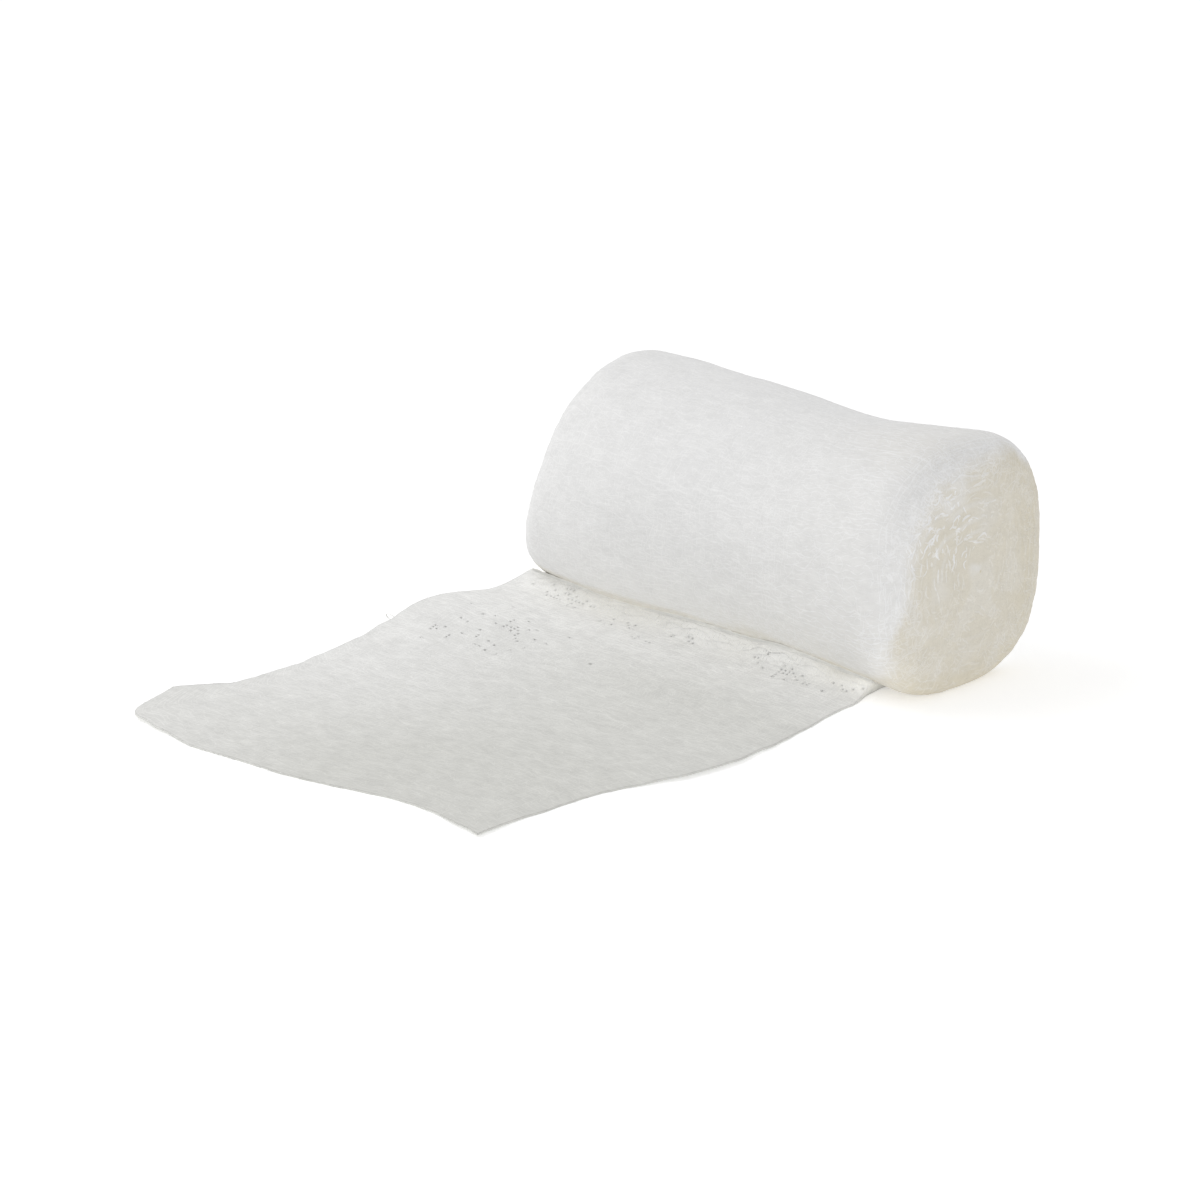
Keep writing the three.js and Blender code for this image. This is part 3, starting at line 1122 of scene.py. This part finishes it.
def loose_sheet():
    """The loose end as one thin closed sheet, with the open cells of its weave cut through."""
    rows, columns = 2 * THREADS_ALONG, 2 * THREADS_ACROSS
    across, along = np.meshgrid(np.linspace(0, 1, columns + 1), np.linspace(0, 1, rows + 1))
    top, under = sheet_surface(across, along)
    count = across.size
    corner = np.arange(count).reshape(across.shape)
    kept = np.ones((rows, columns), bool)
    kept[2:-1:2, 2:-1:2] = ~open_cells()
    widening = hole_widening(kept)
    top[..., :2] += widening
    under[..., :2] += widening
    corners = [corner[:-1, :-1], corner[1:, :-1], corner[1:, 1:], corner[:-1, 1:]]
    cells = np.stack(corners, -1)[kept]
    quads = np.vstack([cells, cells[:, ::-1] + count, cell_walls(kept, corner, count)])
    used, quads = np.unique(quads, return_inverse=True)
    quads = quads.reshape(-1, 4)
    points = np.vstack([top.reshape(-1, 3), under.reshape(-1, 3)])[used]
    # The underside, and with it the walls of the open cells, takes the full painted shade
    cream_and_shade = np.concatenate([sheet_shade(top).ravel(), np.ones(count)])[used]
    glow = np.concatenate([sheet_painted_light(top).ravel(), np.zeros(count)])[used]
    no_triangles = np.zeros((0, 3), int)
    sheet = make_mesh("loose_sheet", points, quads, no_triangles, "laid_gauze", cream_and_shade, glow)
    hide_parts("loose_end")
    return sheet


# The loose end's threads and fluff
STEADY_SHARES = 0.12, 0.02
RAGGED_SHARE = 0.001, 0.0095
SHEET_FLUFF = {"count": 1800, "turn": 0.9, "lengths": (3, 8), "bend": 1.0}
FLUFF_ACROSS = 0.04, 0.96
FLUFF_ALONG = 0.16, 0.97
UPWARD = np.array([0.0, 0.0, 1.0])


def threads_on_sheet(name, across, along, lift, radius):
    """Threads along paths on the loose end."""
    points, _ = sheet_surface(across, along, lift)
    outward = np.broadcast_to(UPWARD, points.shape)
    shade, glow = sheet_shade(points), sheet_painted_light(points)
    return make_threads(name, points, outward, radius, "laid_gauze", shade, glow)


def inner_stray(i, count, stray, across, along):
    """The yarns' own waves, but not beside the open cells or on the two outermost yarns."""
    steady = smooth_step(open_share(across, along), *STEADY_SHARES)
    return np.where((i > 0) & (i < count - 1), stray * steady, 0)


def ragged(places, ends):
    """Places along the yarns, with their first (0) or last (-1) ends drawn out unevenly."""
    rng = np.random.default_rng(seed=79)
    for end in ends:
        outwards = 1 if end else -1
        places[:, end] += outwards * rng.uniform(*RAGGED_SHARE, len(places))
    return places


def sheet_weft():
    """The threads across the loose end."""
    i, j = np.indices((THREADS_ALONG, THREADS_ACROSS))
    lift = THREAD_DEPTH + over_and_under(i, j)
    across = ragged((j + 0.5) / THREADS_ACROSS, (0, -1))
    stray, size = yarn_waves(across * SHEET_WIDTH, seed=75)
    along = (i + 0.5) / THREADS_ALONG
    along = along + inner_stray(i, THREADS_ALONG, stray, across, along) / SHEET_LENGTH
    return threads_on_sheet("sheet_weft", across, along, lift, WEFT_RADIUS * size)


def sheet_warp():
    """The threads along the loose end."""
    i, j = np.indices((THREADS_ACROSS, THREADS_ALONG))
    lift = THREAD_DEPTH - over_and_under(i, j)
    along = ragged((j + 0.5) / THREADS_ALONG, (-1,))
    stray, size = yarn_waves(along * SHEET_LENGTH, seed=77)
    across = (i + 0.5) / THREADS_ACROSS
    across = across + inner_stray(i, THREADS_ACROSS, stray, across, along) / SHEET_WIDTH
    return threads_on_sheet("sheet_warp", across, along, lift, WARP_RADIUS * size)


def sheet_fluff():
    """Short loose fibres on the loose end, mostly across it."""
    rng = np.random.default_rng(seed=91)
    lift, sideways, outwards = loose_fibres(rng, **SHEET_FLUFF)
    rows = len(lift), 1
    across = rng.uniform(*FLUFF_ACROSS, rows) + sideways / SHEET_WIDTH
    along = rng.uniform(*FLUFF_ALONG, rows) + outwards / SHEET_LENGTH
    return threads_on_sheet("sheet_fluff", across, along, lift, FLUFF_RADIUS)


# The crease between the roll and the loose end, and a stray thread
CREASE_FIBRES = 420
FIBRE_RADIUS = 0.16
FIBRE_LENGTHS = 5, 12
FIBRE_MIDDLES = -60, 44
FIBRE_LIMITS = -63, 45
FIBRE_STRAY = 0.25
FIBRE_SLANT = 0.5
FIBRE_OUT_SHARE = 0.4
FIBRE_UP_SHARE = 0.5
FIBRE_LEVEL = 0.6
# Painted light on the crease fibres
FIBRE_GLOW = 0.21
FIBRE_GLOW_REACH = -66, -50
CREASE_OUT = 10, 20
CREASE_STEPS = 60
CREASE_OPENING = 0.45
OPENING_SPARE = 0.1
CREASE_OUTWARD = np.array([0.0, -0.7, 0.7])
STRAY_PLACE = np.array([-65.8, -54.3, 1.4])
STRAY_RADIUS = 0.16
STRAY_POINTS = 12
STRAY_CURL = 3.4
STRAY_LOOP = 1.6, 1.1
STRAY_DRIFT = -0.4, 0.6
STRAY_RISE = 0.8


def sheet_tops(x, out):
    """The loose end's top points at places given by x and the distance in front of the axis."""
    left, right = selvedges(out)
    top, _ = sheet_surface(np.clip((x - left) / (right - left), 0, 1), out / SHEET_LENGTH)
    return top


def crease_line(x):
    """Where the loose end comes closest to the roll in front, as points along the crease."""
    out = np.linspace(*CREASE_OUT, CREASE_STEPS)[:, None]
    x = np.broadcast_to(x, (len(out), len(x)))
    tops = sheet_tops(x, np.broadcast_to(out, x.shape))
    opening = roll_underside(tops[..., 0], -tops[..., 1]) - tops[..., 2]
    near = np.maximum(opening.min(axis=0) + OPENING_SPARE, CREASE_OPENING)
    last = len(out) - 1 - np.argmax((opening < near)[::-1], axis=0)
    return tops[last, np.arange(x.shape[1])]


def crease_fluff():
    """Loose fibres that lie along the crease and fill it, in the painted shade's colour and with
    painted light.
    """
    rng = np.random.default_rng(seed=97)
    rows = CREASE_FIBRES, 1
    t = np.linspace(-0.5, 0.5, FLUFF_POINTS)
    length = rng.uniform(*FIBRE_LENGTHS, rows)
    middle = rng.uniform(*FIBRE_MIDDLES, rows)
    x = np.clip(middle + length * t, *FIBRE_LIMITS)
    line = crease_line(x.ravel()).reshape(*x.shape, 3)
    stray = rng.normal(0, FIBRE_STRAY, rows)
    stray = stray + rng.normal(0, FIBRE_SLANT, rows) * t
    line[..., 1] -= FIBRE_OUT_SHARE * np.abs(stray)
    line[..., 2] += FIBRE_LEVEL * CREASE_OPENING + FIBRE_UP_SHARE * stray
    outward = np.broadcast_to(CREASE_OUTWARD, line.shape)
    glow = FIBRE_GLOW * smooth_step(line[..., 0], *FIBRE_GLOW_REACH)
    return make_threads("crease_fluff", line, outward, FIBRE_RADIUS, "laid_gauze", 1.0, glow)


def stray_thread():
    """A short curl of loose thread that stands off the left selvedge."""
    t = np.linspace(0, 1, STRAY_POINTS)
    turn = STRAY_CURL * t
    x = -STRAY_LOOP[0] * np.sin(turn) + STRAY_DRIFT[0] * t
    y = STRAY_LOOP[1] * (np.cos(turn) - 1) + STRAY_DRIFT[1] * t
    z = STRAY_RISE * np.sin(np.pi * t)
    path = (points_at(x, y, z) + STRAY_PLACE)[None]
    outward = np.broadcast_to(UPWARD, path.shape)
    return make_threads("stray_thread", path, outward, STRAY_RADIUS, "laid_gauze", 1.0)


roll_skin()
roll_weft()
roll_warp()
roll_fluff()
end_tufts("right_tufts", side=1, seed=61)
end_tufts("left_tufts", side=-1, seed=62)
sheet = loose_sheet()
sheet_threads = [sheet_weft(), sheet_warp(), sheet_fluff(), crease_fluff(), stray_thread()]

# The studio, in metres in the part's frame
FLOOR_HALF_SIZE = 4.0
WORLD_LIGHT = 0.72
LIGHT_AIM = 0, 0, 0.02
KEY_LIGHT = {"place": (-0.38, -0.18, 0.6), "size": 0.45, "power": 1.16, "colour": (1, 0.99, 0.98)}
FILL_LIGHT = {"place": (0.35, -1.1, 0.45), "size": 0.8, "power": 0.5, "colour": (1, 1, 1)}
NEAR_CLIP = 0.01
FAR_CLIP = 50


def studio_floor():
    """A wide plain pale floor under the object, which glows a little."""
    size = FLOOR_HALF_SIZE
    mesh = bpy.data.meshes.new("studio_floor")
    corners = [(-size, -size, 0), (size, -size, 0), (size, size, 0), (-size, size, 0)]
    mesh.from_pydata(corners, [], [(0, 1, 2, 3)])
    material, _ = new_material("studio_floor", PALE_FLOOR)
    mesh.materials.append(material)
    floor = new_object("studio_floor", mesh)


def soft_light(name, place, size, power, colour):
    """A large square lamp that points at the object."""
    lamp = bpy.data.lights.new(name, "AREA")
    lamp.size = size
    lamp.energy = power
    lamp.color = colour
    light = new_object(name, lamp)
    light.location = place
    light.rotation_mode = "QUATERNION"
    light.rotation_quaternion = (Vector(LIGHT_AIM) - Vector(place)).to_track_quat("-Z", "Y")


def studio_world():
    """Even pale light from all round."""
    world = bpy.data.worlds.new("studio_world")
    world.use_nodes = True
    background = world.node_tree.nodes["Background"]
    set_inputs(background, {"Color": (1, 1, 1, 1), "Strength": WORLD_LIGHT})
    bpy.context.scene.world = world


def photo_camera():
    """The camera at the photograph's viewing angle."""
    azimuth, elevation = math.radians(VIEW_AZIMUTH), math.radians(VIEW_ELEVATION)
    level = math.cos(elevation)
    back = Vector((math.sin(azimuth) * level, -math.cos(azimuth) * level, math.sin(elevation)))
    lens = bpy.data.cameras.new("photo_camera")
    lens.sensor_width = SENSOR_WIDTH
    lens.lens = SENSOR_WIDTH * FOCAL_PX / PHOTO_WIDTH_PX
    lens.clip_start = NEAR_CLIP
    lens.clip_end = FAR_CLIP
    camera = new_object("photo_camera", lens)
    target = Vector((np.array(VIEW_TARGET) + AXIS_PLACE) * MM)
    camera.location = target + back * VIEW_DISTANCE * MM
    camera.rotation_mode = "QUATERNION"
    camera.rotation_quaternion = (-back).to_track_quat("-Z", "Y")
    bpy.context.scene.camera = camera


studio_floor()
studio_world()
soft_light("key", **KEY_LIGHT)
soft_light("fill", **FILL_LIGHT)
photo_camera()
bpy.context.scene.view_settings.view_transform = "Standard"
